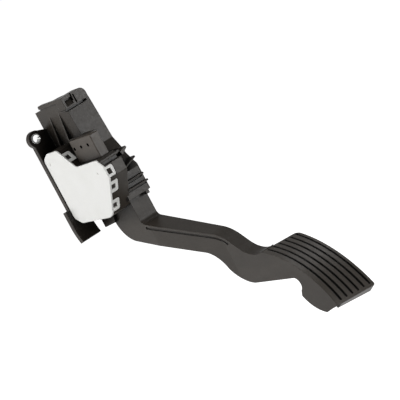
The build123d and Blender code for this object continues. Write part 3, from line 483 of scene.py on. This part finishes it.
# Coil whose pitch eases to nothing at both ends
def coilTree(material):
    sizes = {"Coil": "Float", "Wire": "Float", "Turns": "Float", "Height": "Float", "Base": "Vector"}
    tree, given, keys = sizedTree("closedCoil", sizes)
    spiral = addNode(tree, "GeometryNodeCurveSpiral", {"Resolution": 36})
    split = addNode(tree, "ShaderNodeSeparateXYZ")
    ease = addNode(tree, "ShaderNodeMapRange", interpolation_type="SMOOTHSTEP")
    joined = addNode(tree, "ShaderNodeCombineXYZ")
    eased = addNode(tree, "GeometryNodeSetPosition")
    ring = addNode(tree, "GeometryNodeCurvePrimitiveCircle", {"Resolution": 12})
    wire = addNode(tree, "GeometryNodeCurveToMesh", {"Fill Caps": True})
    lifted = addNode(tree, "GeometryNodeTransform")
    shaded = addNode(tree, "GeometryNodeSetShadeSmooth")
    for source, target in (
        (given["Turns"], spiral.inputs["Rotations"]), (given["Coil"], spiral.inputs["Start Radius"]),
        (given["Coil"], spiral.inputs["End Radius"]), (given["Height"], spiral.inputs["Height"]),
        (addNode(tree, "GeometryNodeInputPosition").outputs["Position"], split.inputs["Vector"]),
        (split.outputs["Z"], ease.inputs["Value"]), (given["Height"], ease.inputs["From Max"]),
        (given["Height"], ease.inputs["To Max"]), (split.outputs["X"], joined.inputs["X"]),
        (split.outputs["Y"], joined.inputs["Y"]), (ease.outputs["Result"], joined.inputs["Z"]),
        (spiral.outputs["Curve"], eased.inputs["Geometry"]),
        (joined.outputs["Vector"], eased.inputs["Position"]), (given["Wire"], ring.inputs["Radius"]),
        (eased.outputs["Geometry"], wire.inputs["Curve"]),
        (ring.outputs["Curve"], wire.inputs["Profile Curve"]),
        (wire.outputs["Mesh"], lifted.inputs["Geometry"]), (given["Base"], lifted.inputs["Translation"]),
        (lifted.outputs["Geometry"], shaded.inputs["Geometry"]),
    ):
        tree.links.new(source, target)
    closeTree(tree, shaded.outputs["Geometry"], material)
    return tree, keys


def returnSprings(specs, place):
    tree, keys = coilTree(metals["springSteel"])
    for name, spec in specs.items():
        foot = spec["Wire"] + place["gap"]
        sizes = {size: spec[size] for size in ("Coil", "Wire", "Turns")}
        sizes["Height"] = place["roof"] - place["seat"] - 2 * foot
        sizes["Base"] = (0.0, place["y"], place["seat"] + foot)
        mesh = bpy.data.meshes.new(name)
        mesh.materials.append(metals["springSteel"])
        spring = bpy.data.objects.new(name, mesh)
        bpy.context.scene.collection.objects.link(spring)
        runTree(spring, tree, keys, sizes)
        bakeModifiers(spring)
        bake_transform(spring)
        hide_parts(spec["node"])
        print(name + ":", len(spring.data.polygons), "faces")


returnSprings(springSpecs, springPlace)


# Rays that should see the pale background
def seenRays(tree):
    path = addNode(tree, "ShaderNodeLightPath").outputs
    seen = maths(tree, "MAXIMUM", path["Is Camera Ray"], path["Is Glossy Ray"])
    return maths(tree, "MAXIMUM", seen, path["Is Transmission Ray"])


floorSpec = {"half": 8.0, "height": -0.262, "colour": (0.80, 0.80, 0.80), "glow": 0.92}


def layFloor(spec):
    half, height = spec["half"], spec["height"]
    mesh = bpy.data.meshes.new("floor")
    corners = [(-half, -half, height), (half, -half, height), (half, half, height), (-half, half, height)]
    mesh.from_pydata(corners, [], [(0, 1, 2, 3)])
    mat = bpy.data.materials.new("floorWhite")
    mat.use_nodes = True
    tree = mat.node_tree
    tree.nodes.remove(tree.nodes["Principled BSDF"])
    matt = addNode(tree, "ShaderNodeBsdfDiffuse", {"Color": (*spec["colour"], 1.0)})
    glow = addNode(tree, "ShaderNodeEmission")
    tree.links.new(maths(tree, "MULTIPLY", seenRays(tree), spec["glow"]), glow.inputs["Strength"])
    both = addNode(tree, "ShaderNodeAddShader")
    tree.links.new(matt.outputs[0], both.inputs[0])
    tree.links.new(glow.outputs[0], both.inputs[1])
    clear = addNode(tree, "ShaderNodeBsdfTransparent")
    below = addNode(tree, "ShaderNodeMixShader")  # see-through from below
    tree.links.new(addNode(tree, "ShaderNodeNewGeometry").outputs["Backfacing"], below.inputs[0])
    tree.links.new(both.outputs[0], below.inputs[1])
    tree.links.new(clear.outputs[0], below.inputs[2])
    tree.links.new(below.outputs[0], tree.nodes["Material Output"].inputs["Surface"])
    mesh.materials.append(mat)
    floor = bpy.data.objects.new("floor", mesh)
    bpy.context.scene.collection.objects.link(floor)


layFloor(floorSpec)

# Main soft box above the cover's side, one in front of the pedal, weaker ones over the far side
# and behind the plate
aim = Vector((0.0, 0.10, -0.09))
lamps = [
    {"name": "sideBox", "place": (1.04, -0.08, 0.62), "size": 0.45, "power": 10.0},
    {"name": "frontBox", "place": (-0.80, 1.25, -0.07), "size": 0.45, "power": 7.4},
    {"name": "backBox", "place": (-1.00, 0.10, 0.75), "size": 0.5, "power": 2.2},
    {"name": "rimBox", "place": (0.90, -0.80, 0.14), "size": 0.4, "power": 1.6},
]
for lamp in lamps:
    light = bpy.data.lights.new(lamp["name"], "AREA")
    light.shape = "DISK"
    light.size = lamp["size"]
    light.energy = lamp["power"]
    box = bpy.data.objects.new(lamp["name"], light)
    box.location = lamp["place"]
    box.rotation_mode = "QUATERNION"
    box.rotation_quaternion = (aim - Vector(lamp["place"])).to_track_quat("-Z", "Y")
    box.visible_camera = False
    bpy.context.scene.collection.objects.link(box)

worldSpec = {"ambient": 0.12, "horizon": 1.0, "zenith": 0.33, "fade": (0.08, 0.45)}


def makeWorld(spec):
    world = bpy.data.worlds.new("studio")
    world.use_nodes = True
    tree = world.node_tree
    direction = addNode(tree, "ShaderNodeTexCoord").outputs["Object"]
    split = addNode(tree, "ShaderNodeSeparateXYZ")
    tree.links.new(direction, split.inputs["Vector"])
    sky = spread(tree, split.outputs["Z"], *spec["fade"], spec["horizon"], spec["zenith"])
    pick = addNode(tree, "ShaderNodeMix", data_type="FLOAT")
    tree.links.new(seenRays(tree), pick.inputs[0])
    pick.inputs[2].default_value = spec["ambient"]
    tree.links.new(sky, pick.inputs[3])
    tree.links.new(pick.outputs[0], tree.nodes["Background"].inputs["Strength"])
    tree.nodes["Background"].inputs["Color"].default_value = (1.0, 1.0, 1.0, 1.0)
    bpy.context.scene.world = world


makeWorld(worldSpec)
bpy.context.scene.view_settings.view_transform = "Standard"
print("studio set")
